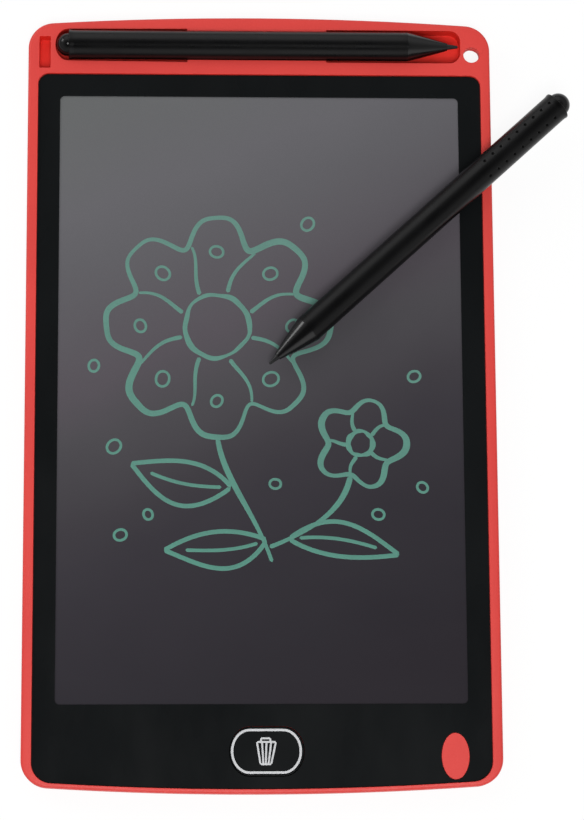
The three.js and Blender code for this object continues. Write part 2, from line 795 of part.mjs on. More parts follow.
function doorScrew([x, y]) {
  const headTop = screwRecess + screwHeadHeight;
  const head = cylinder(x, y, screwHead, screwRecess, headTop);
  const shank = cylinder(x, y, screwShank, screwRecess, screwRecess + screwLength, roundSegments / 2);
  const drives = [[driveLength, driveWidth], [driveWidth, driveLength]].map(([width, height]) =>
    block(x, y, width, height, screwRecess - cutOverrun, screwRecess + driveDepth));
  return cutFrom(joined(head, shank), ...drives);
}

// The leaf that presses on the cell's small face.
function negativeContact() {
  const root = boardLeft + contactPad;
  const edge = boardLeft - contactThickness;
  const tip = edge - negativeReach;
  const touch = tip + contactPad / 2;
  const t = contactThickness;
  const seat = cellTopLevel + contactGap;
  return stripAlongY(cellY + negativeOffset, contactWidth, [
    [root, boardTop], [root, boardTop + t], [edge, boardTop + t], [touch, seat + t], [tip, seat + 2 * t],
    [tip, seat + t], [touch, seat], [edge, boardTop],
  ]);
}

// The leaf under the board whose turned-down end touches the cell's side.
function positiveContact() {
  const root = boardLeft + contactPad;
  const nearEdge = positiveOffset + contactWidth / 2;
  const side = cellX + Math.sqrt(cellDiameter ** 2 / 4 - nearEdge ** 2) + contactGap;
  const low = doorThickness + ledgeThickness + contactGap;
  const t = contactThickness;
  return stripAlongY(cellY + positiveOffset, contactWidth, [
    [root, boardUnder], [side, boardUnder], [side, low], [side + t, low], [side + t, boardUnder - t],
    [root, boardUnder - t],
  ]);
}

// Styluses, along their own +Z from tip to tail

const tailEnd = stylusLength - ballOffset - ballDiameter / 2;
const coneStart = nibReach;
const barrelStart = nibReach + coneLength;

function barrelProfile() {
  const outer = stylusDiameter / 2;
  const tip = coneTipDiameter / 2;
  const bore = outer - stylusWall;
  const nibBore = nibDiameter / 2 + nibGap;
  const points = [new THREE.Vector2(nibBore, coneStart)];
  for (let step = 0; step <= coneSteps; step++) {
    const share = step / coneSteps;
    const swell = 1 - (1 - share) ** coneSwellPower;
    points.push(new THREE.Vector2(tip + (outer - tip) * swell, coneStart + coneLength * share));
  }
  points.push(
    new THREE.Vector2(outer, tailEnd - tailFlareLength),
    new THREE.Vector2(outer + tailFlare, tailEnd - tailFlareLength / 3),
    new THREE.Vector2(outer + tailFlare, tailEnd),
    new THREE.Vector2(bore, tailEnd),
    new THREE.Vector2(bore, barrelStart),
    new THREE.Vector2(nibBore, barrelStart - stylusWall),
    points[0].clone(),
  );
  return points;
}

function nibProfile() {
  const radius = nibDiameter / 2;
  const tip = nibTipDiameter / 2;
  return [
    new THREE.Vector2(0, 0),
    new THREE.Vector2(tip * Math.SQRT1_2, tip * (1 - Math.SQRT1_2)),
    new THREE.Vector2(tip, tip),
    new THREE.Vector2(radius, nibReach - nibGap),
    new THREE.Vector2(radius, nibReach + nibShank),
    new THREE.Vector2(0, nibReach + nibShank),
  ];
}

function tailCapProfile() {
  const radius = ballDiameter / 2;
  const plug = stylusDiameter / 2 - stylusWall - plugGap;
  const centre = tailEnd + ballOffset;
  const low = Math.asin((ballSeat - ballOffset) / radius);
  const points = [
    new THREE.Vector2(0, tailEnd - plugDepth),
    new THREE.Vector2(plug, tailEnd - plugDepth),
    new THREE.Vector2(plug, tailEnd + ballSeat),
  ];
  for (let step = 0; step < ballSteps; step++) {
    const angle = low + (Math.PI / 2 - low) * step / ballSteps;
    points.push(new THREE.Vector2(radius * Math.cos(angle), centre + radius * Math.sin(angle)));
  }
  points.push(new THREE.Vector2(0, centre + radius));
  return points;
}

function turned(profile, segments = stylusSegments) {
  return new THREE.LatheGeometry(profile, segments).rotateX(Math.PI / 2);
}

function addStylus(name, carrier) {
  addPiece(`${name}_barrel`, turned(barrelProfile()), blackPlastic(), carrier);
  addPiece(`${name}_nib`, turned(nibProfile(), stylusSegments / 2), nibPlastic(), carrier);
  addPiece(`${name}_tail_cap`, turned(tailCapProfile()), blackPlastic(), carrier);
}

// Assembly

addPiece('rear_cover', rearCover(), redPlastic());
addPiece('front_frame', frontFrame(), redPlastic());
addPiece('bezel_overlay', bezelOverlay(), blackFilm());
addPiece('lcd_film', filmSheet(filmUnder, landTop), screenFilm());
addPiece('backing_sheet', filmSheet(backingUnder, filmUnder), darkSheet());
addPiece('mounting_tape', mountingTape(), tapeFoam());
addPiece('film_tail', filmTail(), amberFlex());

addPiece('erase_button', eraseButton(), blackPlastic());
addPiece('switch_plunger', switchPlunger(), blackPlastic());
addPiece('switch_body', switchBody(), nickelSteel());

addPiece('circuit_board', circuitBoard(), boardGreen());
for (const [name, [alongShare, acrossShare]] of Object.entries(boardPartShares)) {
  const x = boardX + alongShare * boardLength;
  const y = boardY + acrossShare * boardWidth;
  addPiece(name, boardParts[name](x, y), name.includes('capacitor') ? ceramicTan() : chipBlack());
}

addPiece('lock_switch_body', lockBody(), nickelSteel());
addPiece('lock_lever', lockLever(), blackPlastic());
addPiece('lock_slider', lockKnob(), blackPlastic());

addPiece('coin_cell', coinCell(), nickelSteel());
addPiece('negative_contact', negativeContact(), springSteel());
addPiece('positive_contact', positiveContact(), springSteel());
addPiece('cell_pad', cylinder(cellX, cellY, padDiameter, doorThickness, cellLow), darkSheet());
addPiece('battery_door', batteryDoor(), redPlastic());
addPiece('door_screw_1', doorScrew(doorScrews[0]), nickelSteel());
addPiece('door_screw_2', doorScrew(doorScrews[1]), nickelSteel());

// The stowed stylus lies along the groove, its tip at the hole's end.
const stowed = new THREE.Group();
stowed.position.set(grooveShift + stowedShift + stylusLength / 2, grooveY,
  grooveLevel + seatGap + stylusDiameter / 2);
stowed.rotation.y = -Math.PI / 2;
addStylus('stowed', stowed);
tablet.add(stowed);

// The loose stylus rests on the screen at its cone and on the rim of the casing, tip over the drawing.
const rimReach = (panelWidth / 2 - looseTipX) / Math.cos(looseAngle);
const loosePitch = Math.atan2(bodyThickness - landTop, rimReach - barrelStart);
const loose = new THREE.Group();
loose.position.set(looseTipX, looseTipY,
  landTop + seatGap + stylusDiameter / 2 - barrelStart * Math.tan(loosePitch));
loose.rotation.order = 'ZYX';
loose.rotation.z = looseAngle;
loose.rotation.y = Math.PI / 2 - loosePitch;
addStylus('loose', loose);
tablet.add(loose);

export default tablet;
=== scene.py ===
# LCD writing tablet with two styluses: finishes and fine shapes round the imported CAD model, in metres.
# The tablet lies on its back, +Z out of the screen and +Y towards the stylus groove.
import math
import bmesh
import bpy
import numpy as np
from mathutils import Matrix, Vector


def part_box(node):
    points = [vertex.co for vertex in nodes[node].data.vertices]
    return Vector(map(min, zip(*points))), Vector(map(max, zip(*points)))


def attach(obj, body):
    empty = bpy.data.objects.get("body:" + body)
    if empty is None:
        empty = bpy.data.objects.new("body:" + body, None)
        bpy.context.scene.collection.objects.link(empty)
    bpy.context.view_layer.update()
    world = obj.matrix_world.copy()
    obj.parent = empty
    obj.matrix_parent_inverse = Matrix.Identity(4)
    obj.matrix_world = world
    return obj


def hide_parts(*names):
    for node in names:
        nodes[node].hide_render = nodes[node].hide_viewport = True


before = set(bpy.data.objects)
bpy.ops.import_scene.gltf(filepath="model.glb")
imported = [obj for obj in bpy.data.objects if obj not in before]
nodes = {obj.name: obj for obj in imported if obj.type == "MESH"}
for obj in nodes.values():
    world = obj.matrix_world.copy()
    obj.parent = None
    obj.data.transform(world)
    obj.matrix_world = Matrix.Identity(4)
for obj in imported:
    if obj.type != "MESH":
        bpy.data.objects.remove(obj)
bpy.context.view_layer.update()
mm = 0.001
print("frame loaded,", len(nodes), "nodes")


# Camera, fitted to the tablet's outline in the photograph

photoCamera = {
    "height": 820,  # pixels
    "focalLength": 2800,  # pixels
    "sensorWidth": 36,  # millimetres
    "nearest": 0.01,  # metres
    "place": (-0.026027, -0.154691, 0.810733),
    "turn": (0.18478258, -0.04276989, -0.00224773),  # rotation axis times its angle in radians
}


def placed(name, data):
    piece = bpy.data.objects.new(name, data)
    bpy.context.scene.collection.objects.link(piece)
    return piece


def addCamera(view):
    data = bpy.data.cameras.new("photoCamera")
    data.sensor_fit = "AUTO"
    data.sensor_width = view["sensorWidth"]
    data.lens = data.sensor_width * view["focalLength"] / view["height"]
    data.clip_start = view["nearest"]
    camera = placed("photoCamera", data)
    turn = Vector(view["turn"])
    camera.matrix_world = Matrix.Translation(view["place"]) @ Matrix.Rotation(turn.length, 4, turn)
    bpy.context.scene.camera = camera


addCamera(photoCamera)
print("camera set")


# Shader nodes

noiseReach = (0.3, 0.7)  # most values of a noise lie between these


def linear(colour):
    # c = (s / 255) / 12.92 below 0.04045, else ((s / 255 + 0.055) / 1.055) ** 2.4, for each channel
    share = np.asarray(colour, float) / 255
    bright = ((share + 0.055) / 1.055) ** 2.4
    return tuple(np.where(share <= 0.04045, share / 12.92, bright)) + (1.0,)


def grey(light):
    return (light, light, light, 1)


class Wire:
    # an output socket; sums written with it add Math nodes
    def __init__(self, owner, socket):
        self.owner = owner
        self.socket = socket

    def math(self, operation, first, second=0.0):
        return self.owner.add("ShaderNodeMath", {"operation": operation}, {0: first, 1: second})

    def __add__(self, other):
        return self.math("ADD", self, other)

    def __radd__(self, other):
        return self.math("ADD", other, self)

    def __sub__(self, other):
        return self.math("SUBTRACT", self, other)

    def __rsub__(self, other):
        return self.math("SUBTRACT", other, self)

    def __mul__(self, other):
        return self.math("MULTIPLY", self, other)

    def __rmul__(self, other):
        return self.math("MULTIPLY", other, self)

    def __truediv__(self, other):
        return self.math("DIVIDE", self, other)

    def __rtruediv__(self, other):
        return self.math("DIVIDE", other, self)


class Finish:
    # one node tree, of a material or of the world
    def __init__(self, name, holder=None):
        self.holder = holder or bpy.data.materials.new(name)
        self.holder.use_nodes = True
        self.tree = self.holder.node_tree
        self.tree.nodes.clear()
        self.placeWire = None

    def add(self, kind, settings=None, inputs=None, output=0):
        node = self.tree.nodes.new(kind)
        for key, value in (settings or {}).items():
            if key == "stops":
                self.fillRamp(node.color_ramp, value)
            else:
                setattr(node, key, value)
        for key, value in (inputs or {}).items():
            if isinstance(value, Wire):
                self.tree.links.new(value.socket, node.inputs[key])
            else:
                node.inputs[key].default_value = value
        return Wire(self, node.outputs[output]) if len(node.outputs) else node

    def fillRamp(self, ramp, stops):
        while len(ramp.elements) < len(stops):
            ramp.elements.new(0.5)
        for element, (position, colour) in zip(ramp.elements, stops):
            element.position = position
            element.color = colour

    def place(self):
        if self.placeWire is None:
            self.placeWire = self.add("ShaderNodeTexCoord", output="Object")
        return self.placeWire

    def axes(self):
        first = self.add("ShaderNodeSeparateXYZ", inputs={0: self.place()})
        return [Wire(self, socket) for socket in first.socket.node.outputs]

    def noise(self, size, detail, stretch=(1, 1, 1)):
        # size is the pattern's grain in metres
        drawnOut = self.add("ShaderNodeVectorMath", {"operation": "MULTIPLY"},
                            {0: self.place(), 1: stretch})
        return self.add("ShaderNodeTexNoise", {"noise_dimensions": "3D"},
                        {"Vector": drawnOut, "Scale": 1 / size, "Detail": detail, "Roughness": 0.5})

    def mix(self, factor, first, second):
        return self.add("ShaderNodeMix",
                        {"data_type": "RGBA", "blend_type": "MIX", "clamp_factor": True},
                        {0: factor, 6: first, 7: second}, output=2)

    def spread(self, wire, low, high, toLow=0.0, toHigh=1.0):
        ends = {"From Min": low, "From Max": high, "To Min": toLow, "To Max": toHigh}
        return self.add("ShaderNodeMapRange", {"clamp": True}, {"Value": wire, **ends})

    def tinted(self, wire, look):
        # colour = mix(colour, otherColour, noise stretched over the look's contrast)
        shade = self.spread(wire, *look["contrast"])
        return self.mix(shade, linear(look["colour"]), linear(look["otherColour"]))

    def roughened(self, wire, look):
        # from the roughness less the swing's first part to the roughness plus its second part
        less, more = look["swing"]
        return self.spread(wire, *noiseReach, look["roughness"] - less, look["roughness"] + more)

    def bump(self, height, depth):
        # depth is the relief's height in metres
        return self.add("ShaderNodeBump",
                        inputs={"Height": height, "Strength": 1.0, "Distance": depth})

    def finish(self, **inputs):
        names = {key.replace("_", " "): value for key, value in inputs.items()}
        shader = self.add("ShaderNodeBsdfPrincipled", inputs=names)
        self.add("ShaderNodeOutputMaterial", inputs={"Surface": shader})
        return self.holder


# Finishes of the moulded pieces

redLook = {
    "colour": (210, 50, 42),
    "otherColour": (204, 45, 38),
    "contrast": (0.38, 0.66),
    "roughness": 0.55,
    "swing": (0.05, 0.05),
    "specular": 0.6,
    "grain": 0.22 * mm,
    "grainDepth": 0.012 * mm,
    "fineScale": 0.45,  # the finer grain's size against the grain
    "fineShare": 0.5,
    "speckScale": 2.5,  # the specks' size against the grain
    "cloudSize": 26 * mm,
    "cloudShare": 0.75,  # the rest is specks
}
blackLook = {
    "colour": (12, 12, 13),
    "otherColour": (17, 17, 18),
    "contrast": (0.35, 0.75),
    "roughness": 0.3,
    "swing": (0.06, 0.05),
    "specular": 0.22,
    "grain": 0.16 * mm,
    "grainDepth": 0.003 * mm,
    "speckScale": 3,
    "cloudSize": 9 * mm,
    "cloudShare": 0.4,
}
redChanges = {
    "redPlastic": {},
    # groove and pocket, lighter and deeper red as painted bounce light
    "bounceLitRed": {"colour": (225, 44, 32), "otherColour": (219, 40, 29), "specular": 0.3},
    # the gap round the border, dark red as painted shade
    "gapShadeRed": {"colour": (64, 10, 9), "otherColour": (54, 8, 8), "specular": 0.2},
}
blackChanges = {
    "penBlack": {},
    "coneBlack": {"roughness": 0.23, "grainDepth": 0.0005 * mm, "specular": 0.42},
    "ballBlack": {"roughness": 0.2, "grainDepth": 0.0005 * mm},
    # inside the dimples: a duller black, darkened as painted shade
    "pitShadeBlack": {"colour": (3, 3, 3), "otherColour": (5, 5, 5), "roughness": 0.6, "specular": 0.1},
    "slideBlack": {"colour": (18, 18, 19), "roughness": 0.5},
}


def mouldedRed(name, look):
    # shade follows cloud and specks, roughness the specks; height = fine noise plus a share of a
    # finer one
    made = Finish(name)
    cloud = made.noise(look["cloudSize"], detail=3)
    speck = made.noise(look["grain"] * look["speckScale"], detail=2)
    colour = made.tinted(cloud * look["cloudShare"] + speck * (1 - look["cloudShare"]), look)
    fine = made.noise(look["grain"] * look["fineScale"], detail=0)
    grain = made.noise(look["grain"], detail=1) + look["fineShare"] * fine
    return made.finish(Base_Color=colour, Roughness=made.roughened(speck, look),
                       Normal=made.bump(grain, look["grainDepth"]), Specular_IOR_Level=look["specular"])


def mouldedBlack(name, look):
    # shade follows specks and cloud, roughness the cloud alone; height = fine noise
    made = Finish(name)
    speck = made.noise(look["grain"] * look["speckScale"], detail=3)
    cloud = made.noise(look["cloudSize"], detail=2)
    colour = made.tinted(speck * (1 - look["cloudShare"]) + cloud * look["cloudShare"], look)
    grain = made.noise(look["grain"], detail=1)
    return made.finish(Base_Color=colour, Roughness=made.roughened(cloud, look),
                       Normal=made.bump(grain, look["grainDepth"]), Specular_IOR_Level=look["specular"])


finishes = {name: mouldedRed(name, {**redLook, **change}) for name, change in redChanges.items()}
finishes.update((name, mouldedBlack(name, {**blackLook, **change}))
                for name, change in blackChanges.items())
print("moulded finishes made")


# Finishes of the printed border, the screen and what is drawn on it

borderLook = {
    "colour": (13, 15, 16),
    "otherColour": (17, 19, 20),
    "contrast": (0.3, 0.7),
    "cloudSize": 40 * mm,
    "roughness": 0.28,
    "swing": (0.05, 0.06),
    "smearSize": 14 * mm,
    "smearStretch": (1, 0.4, 1),
    "specular": 0.1,
    "pebble": 0.35 * mm,
    "pebbleDepth": 0.0035 * mm,
}
screenLook = {
    "corner": (-59.5 * mm, 91 * mm),  # the window's upper left corner
    "lean": 0.42,  # how much the shade falls to the right, against its fall down the screen
    "reach": 231 * mm,  # from the upper left corner to the lower right one, along the fall
    # painted reflection: lighter towards the upper left, darker towards the bottom
    "shades": [(0.0, (99, 101, 101)), (0.171, (98, 97, 101)), (0.234, (93, 92, 96)),
               (0.397, (83, 78, 84)), (0.463, (73, 71, 75)), (0.571, (58, 55, 60)),
               (0.622, (52, 49, 55)), (0.711, (45, 42, 48)), (0.838, (38, 35, 41)),
               (0.93, (36, 32, 38)), (1.0, (34, 30, 36))],
    "cloudSize": 30 * mm,
    "cloudShare": 0.05,  # of the whole fall
    "speckle": 0.25 * mm,
    "speckleShare": 0.12,
    "speckleColour": (40, 38, 43),
    "roughness": 0.42,
    "swing": (0.04, 0.05),
    "smearSize": 18 * mm,
    "smearStretch": (0.5, 1, 1),
    "specular": 0.12,
    "pebble": 0.28 * mm,
    "pebbleDepth": 0.003 * mm,
}
drawnLook = {
    "topColour": (98, 134, 124),
    "lowColour": (82, 137, 122),
    "span": (-60 * mm, 70 * mm),  # heights on the screen at which these colours stand
    "thinColour": (70, 84, 84),
    "contrast": (0.42, 0.68),
    "fade": 0.22,
    "grain": 0.5 * mm,
    "grainShare": 0.5,  # the rest is the slow change of pressure
    "pressSize": 7 * mm,
}


def filmFinish(made, colour, look):
    # roughness follows a drawn-out smear; height = pebbled noise
    pebble = made.noise(look["pebble"], detail=1)
    smear = made.noise(look["smearSize"], detail=4, stretch=look["smearStretch"])
    return made.finish(Base_Color=colour, Roughness=made.roughened(smear, look),
                       Normal=made.bump(pebble, look["pebbleDepth"]),
                       Specular_IOR_Level=look["specular"])


def borderFilm(look):
    made = Finish("borderFilm")
    return filmFinish(made, made.tinted(made.noise(look["cloudSize"], detail=3), look), look)


def screenFilm(look):
    # shade = ramp(((top - y) + lean (x - left)) / reach), with a slow cloud and a fine speckle on it;
    # the ramp is a painted reflection, the film lighter towards the upper left and darker towards the
    # bottom
    made = Finish("screenFilm")
    x, y = made.axes()[:2]
    left, top = look["corner"]
    cloud = made.noise(look["cloudSize"], detail=3)
    fall = ((top - y) + (x - left) * look["lean"]) / look["reach"] + (cloud - 0.5) * look["cloudShare"]
    stops = [(position, linear(colour)) for position, colour in look["shades"]]
    shade = made.add("ShaderNodeValToRGB", {"stops": stops}, {0: fall})
    speckle = made.spread(made.noise(look["speckle"], detail=2), *noiseReach, 0, look["speckleShare"])
    return filmFinish(made, made.mix(speckle, shade, linear(look["speckleColour"])), look)


def drawnTeal(look, screen):
    # colour = mix(lowColour, topColour, height up the screen), thinned by a noise like stylus pressure
    made = Finish("drawnTeal")
    y = made.axes()[1]
    climb = made.spread(y, *look["span"])
    clear = made.mix(climb, linear(look["lowColour"]), linear(look["topColour"]))
    press = (made.noise(look["grain"], detail=3) * look["grainShare"]
             + made.noise(look["pressSize"], detail=2) * (1 - look["grainShare"]))
    thin = made.spread(press, *look["contrast"], 0, look["fade"])
    colour = made.mix(thin, clear, linear(look["thinColour"]))
    pebble = made.noise(screen["pebble"], detail=1)
    return made.finish(Base_Color=colour, Roughness=screen["roughness"],
                       Normal=made.bump(pebble, screen["pebbleDepth"]),
                       Specular_IOR_Level=screen["specular"])


finishes.update(borderFilm=borderFilm(borderLook), screenFilm=screenFilm(screenLook),
                drawnTeal=drawnTeal(drawnLook, screenLook))
print("film finishes made")


# Finishes of nibs, print, metal and what lies inside

mottledLook = {
    "detail": 3,
    "stretch": (1, 1, 1),
    "contrast": (0.35, 0.65),
    "swing": (0.05, 0.05),
    "depth": 0.005 * mm,
    "metallic": 0.0,
}
metalLook = {
    "size": 1.2 * mm,
    "detail": 4,
    "swing": (0.07, 0.07),
    "depth": 0.003 * mm,
    "metallic": 1.0,
}
mottledChanges = {
    "nibPlastic": {"colour": (31, 31, 33), "otherColour": (23, 23, 25), "size": 0.35 * mm,
                   "roughness": 0.45, "depth": 0.004 * mm},
    "printedWhite": {"colour": (195, 196, 198), "otherColour": (172, 174, 177), "size": 0.4 * mm,
                     "detail": 4, "contrast": (0.45, 0.75), "roughness": 0.42, "swing": (0, 0.13),
                     "depth": 0.002 * mm},
    "boardGreen": {"colour": (30, 92, 56), "otherColour": (20, 70, 42), "size": 1.4 * mm,
                   "roughness": 0.38},
    "chipBlack": {"colour": (30, 30, 32), "otherColour": (20, 20, 21), "size": 0.2 * mm,
                  "roughness": 0.6},
    "ceramicTan": {"colour": (170, 142, 108), "otherColour": (140, 112, 82), "size": 0.3 * mm,
                   "roughness": 0.5},
    "amberFlex": {"colour": (186, 122, 44), "otherColour": (158, 96, 30), "size": 2 * mm,
                  "roughness": 0.3},
    "sheetBlack": {"colour": (20, 20, 20), "otherColour": (12, 12, 12), "size": 0.5 * mm,
                   "roughness": 0.8},
    "tapeCream": {"colour": (218, 214, 202), "otherColour": (196, 190, 174), "size": 0.8 * mm,
                  "roughness": 0.75},
    "springSteel": {**metalLook, "colour": (200, 196, 186), "otherColour": (170, 166, 158),
                    "roughness": 0.3, "stretch": (1, 14, 14)},
    "nickelSteel": {**metalLook, "colour": (196, 196, 198), "otherColour": (168, 168, 172),
                    "roughness": 0.27, "stretch": (10, 10, 1)},
    "cellSteel": {**metalLook, "colour": (206, 206, 208), "otherColour": (184, 184, 188),
                  "roughness": 0.22, "stretch": (1, 6, 1)},
}


def mottled(name, look):
    # shade, roughness and height all follow one noise, on metal drawn out along the brushing
    made = Finish(name)
    cloud = made.noise(look["size"], detail=look["detail"], stretch=look["stretch"])
    return made.finish(Base_Color=made.tinted(cloud, look), Roughness=made.roughened(cloud, look),
                       Normal=made.bump(cloud, look["depth"]), Metallic=look["metallic"])


finishes.update((name, mottled(name, {**mottledLook, **change}))
                for name, change in mottledChanges.items())
print("inner finishes made")

finishNodes = {
    "redPlastic": ["rear_cover", "front_frame", "battery_door"],
    "borderFilm": ["bezel_overlay", "erase_button"],
    "screenFilm": ["lcd_film"],
    "slideBlack": ["switch_plunger", "lock_slider", "lock_lever"],
    "penBlack": ["stowed_barrel", "loose_barrel"],
    "ballBlack": ["stowed_tail_cap", "loose_tail_cap"],
    "nibPlastic": ["stowed_nib", "loose_nib"],
    "sheetBlack": ["backing_sheet", "cell_pad"],
    "tapeCream": ["mounting_tape"],
    "amberFlex": ["film_tail"],
    "boardGreen": ["circuit_board"],
    "chipBlack": ["control_chip", "boost_inductor", "boost_diode", "sense_resistor", "load_resistor"],
    "ceramicTan": ["storage_capacitor", "filter_capacitor"],
    "springSteel": ["negative_contact", "positive_contact"],
    "nickelSteel": ["switch_body", "lock_switch_body", "door_screw_1", "door_screw_2"],
    "cellSteel": ["coin_cell"],
}
for finish, names in finishNodes.items():
    for name in names:
        nodes[name].data.materials.clear()
        nodes[name].data.materials.append(finishes[finish])
print("CAD nodes painted:", sum(len(names) for names in finishNodes.values()))


# Mesh making

meshing = {
    "weld": 0.0005 * mm,
    "sliver": 0.0002 * mm,
    "sharpAngle": 35,  # degrees
}
rounding = {
    "weld": 0.07 * mm,  # shorter edges would cross in the bevel
    "flatAngle": 0.4,  # degrees, as are the next two; flatter edges are dissolved
    "sharpAngle": 30,
    "bevelAngle": 32,
    "steps": 2,
}


def gridFaces(rows, columns, loopRows, loopColumns):
    # quad (i, j) joins points (i, j), (i, j + 1), (i + 1, j + 1) and (i + 1, j), wrapped round a loop
    i = np.arange(rows if loopRows else rows - 1)[:, None]
    j = np.arange(columns if loopColumns else columns - 1)[None, :]
    nextI = (i + 1) % rows
    nextJ = (j + 1) % columns
    corners = [i * columns + j, i * columns + nextJ, nextI * columns + nextJ, nextI * columns + j]
    return np.stack(corners, axis=-1).reshape(-1, 4)


def addPiece(name, parts, finish, body, stands=()):
    # parts are (points[rows, columns, 3], loopRows, loopColumns); poles merge, normals turn outwards
    counts = [part[0].shape[0] * part[0].shape[1] for part in parts]
    starts = np.cumsum([0] + counts[:-1])
    points = np.concatenate([part[0].reshape(-1, 3) for part in parts])
    faces = np.concatenate([gridFaces(*part[0].shape[:2], *part[1:]) + start
                            for part, start in zip(parts, starts)])
    mesh = bpy.data.meshes.new(name)
    mesh.from_pydata(points.tolist(), [], faces.tolist())
    work = bmesh.new()
    work.from_mesh(mesh)
    bmesh.ops.remove_doubles(work, verts=work.verts, dist=meshing["weld"])
    bmesh.ops.dissolve_degenerate(work, edges=work.edges, dist=meshing["sliver"])
    bmesh.ops.recalc_face_normals(work, faces=work.faces)
    work.to_mesh(mesh)
    work.free()
    return finishPiece(name, mesh, finish, body, stands, meshing["sharpAngle"])


def finishPiece(name, mesh, finish, body, stands, sharpAngle):
    mesh.shade_smooth()
    mesh.set_sharp_from_angle(angle=math.radians(sharpAngle))
    mesh.materials.clear()
    mesh.materials.append(finishes[finish])
    piece = placed(name, mesh)
    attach(piece, body)
    if stands:
        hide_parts(*stands)
    return piece


def softenNode(node, name, finish, body, slot, edge):
    # a merged copy of a CAD mesh, its flat faces whole again and its edges rounded
    mesh = nodes[node].data.copy()
    mesh.name = name
    work = bmesh.new()
    work.from_mesh(mesh)
    bmesh.ops.remove_doubles(work, verts=work.verts, dist=rounding["weld"])
    bmesh.ops.dissolve_limit(work, angle_limit=math.radians(rounding["flatAngle"]),
                             verts=work.verts, edges=work.edges)
    work.to_mesh(mesh)
    work.free()
    for attribute in [a.name for a in mesh.attributes if a.name in ("custom_normal", "sharp_face")]:
        mesh.attributes.remove(mesh.attributes[attribute])
    piece = finishPiece(name, mesh, finish, body, (node,), rounding["sharpAngle"])
    bevel = piece.modifiers.new("edges", "BEVEL")
    bevel.width = edge
    bevel.segments = rounding["steps"]
    bevel.limit_method = "ANGLE"
    bevel.angle_limit = math.radians(rounding["bevelAngle"])
    bevel.use_clamp_overlap = False
    bevel.harden_normals = True
    return piece


def faceMiddles(mesh):
    middles = np.empty(3 * len(mesh.polygons))
    mesh.polygons.foreach_get("center", middles)
    return middles.reshape(-1, 3)


def paintFaces(mesh, finish, chosen):
    index = np.empty(len(mesh.polygons), dtype=np.int32)
    mesh.polygons.foreach_get("material_index", index)
    index[chosen] = len(mesh.materials)
    mesh.materials.append(finishes[finish])
    mesh.polygons.foreach_set("material_index", index)
    mesh.update()


# Casing, border and button: CAD shapes with rounded edges

softened = [
    ("front_frame", "front_frame_skin", "redPlastic", "tablet", "red_plastic", 0.12 * mm),
    ("rear_cover", "rear_cover_skin", "redPlastic", "tablet", "red_plastic", 0.1 * mm),
    ("battery_door", "battery_door_skin", "redPlastic", "battery_cover", "red_plastic", 0.12 * mm),
    ("bezel_overlay", "border_film", "borderFilm", "tablet", "black_film", 0.04 * mm),
    ("erase_button", "erase_button_cap", "borderFilm", "erase_key", "black_plastic", 0.12 * mm),
    ("lock_slider", "lock_slider_cap", "slideBlack", "lock_key", "black_plastic", 0.05 * mm),
]
casing = {
    "sideBand": 3 * mm,  # this far in from the outer sides the plain red stays
    "hollowDepth": 0.15 * mm,  # faces at least this far under the top are hollow
    "bedSlack": 0.03 * mm,  # how far off the border's underside a bed face may lie
}


def hollowFaces(mesh, low, look):
    # faces whose middle lies beyond low along y, under the top by the depth, and off the outer sides
    middles = faceMiddles(mesh)
    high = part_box("front_frame")[1]
    inside = np.abs(middles[:, 0]) < high.x - look["sideBand"]
    inside &= (middles[:, 1] > low) & (middles[:, 1] < high.y - look["sideBand"])
    return inside & (middles[:, 2] < high.z - look["hollowDepth"])


def bedFaces(mesh, height, look):
    # faces at the height of the border's underside, seen only in the thin gap round the border
    return np.abs(faceMiddles(mesh)[:, 2] - height) < look["bedSlack"]


skins = {row[0]: softenNode(*row) for row in softened}
frameMesh = skins["front_frame"].data
borderLow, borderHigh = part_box("bezel_overlay")
# groove and pocket faces take a lighter, deeper red: painted bounce light
paintFaces(frameMesh, "bounceLitRed", hollowFaces(frameMesh, borderHigh.y, casing))
# the floor of the gap round the border takes a dark red: painted shade
paintFaces(frameMesh, "gapShadeRed", bedFaces(frameMesh, borderLow.z, casing))
print("casing softened")


# Styluses

stylus = {
    "length": 120.3 * mm,
    "radius": 4.3 * mm,
    "wall": 1.4 * mm,
    "skinShare": 0.7,  # of the wall, beyond which a face belongs to the outside
    "coneLength": 12 * mm,
    "coneTip": 1.15 * mm,
    "swell": 1.1,
    "nibReach": 3.3 * mm,
    "nibRadius": 0.85 * mm,
    "nibTip": 0.45 * mm,
    "nibShank": 5 * mm,
    "nibGap": 0.15 * mm,
    "ballRadius": 3.5 * mm,
    "ballOffset": 0.25 * mm,
    "ballSeat": 0.1 * mm,
    "plugDepth": 6 * mm,
    "plugGap": 0.1 * mm,
    "flare": 0.15 * mm,
    "flareLength": 1.2 * mm,
    "gripMargin": 1.2,  # flare lengths between the fine rows of the mesh and the end
    "sides": 180,
    "nibSides": 48,
    "ballSides": 96,
}
stylus["barrelStart"] = stylus["nibReach"] + stylus["coneLength"]
stylus["tailEnd"] = stylus["length"] - stylus["ballOffset"] - stylus["ballRadius"]
dimples = {
    "angles": (-31, 31),  # degrees round from the stylus's grip side
    "count": 9,
    "first": 2.4 * mm,  # from the barrel's tail end
    "pitch": 3.3 * mm,
    "radius": 0.46 * mm,
    "depth": 0.3 * mm,
    "steepness": 0.7,
    "shadeFrom": 0.15,  # "shadeFrom": 0.15, # share of the depth from which a face takes the duller black, darkened as painted shade
    "rowStep": 0.16 * mm,  # length of the mesh's fine rows
}


